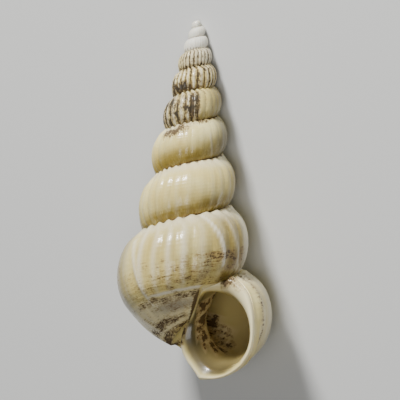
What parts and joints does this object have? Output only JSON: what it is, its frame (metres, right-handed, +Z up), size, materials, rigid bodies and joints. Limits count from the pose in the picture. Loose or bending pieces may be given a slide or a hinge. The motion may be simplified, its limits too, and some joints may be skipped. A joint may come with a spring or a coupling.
{
  "type": "wentletrap shell",
  "caption": "Tall spiral sea snail shell with ribbed round whorls, laid on its back with its open mouth facing up.",
  "frame": {"origin": "on the resting plane, under the middle of the shell's box", "axes": "+Z up from the table, +Y towards the pointed tip, mouth facing up and a little towards +X"},
  "size_m": [0.0204, 0.0432, 0.0171],
  "materials": {
    "shell": "ivory, softly glossy, with brown stain between the ribs"
  },
  "bodies": {
    "root": {"shell": "shell"}
  },
  "joints": []
}
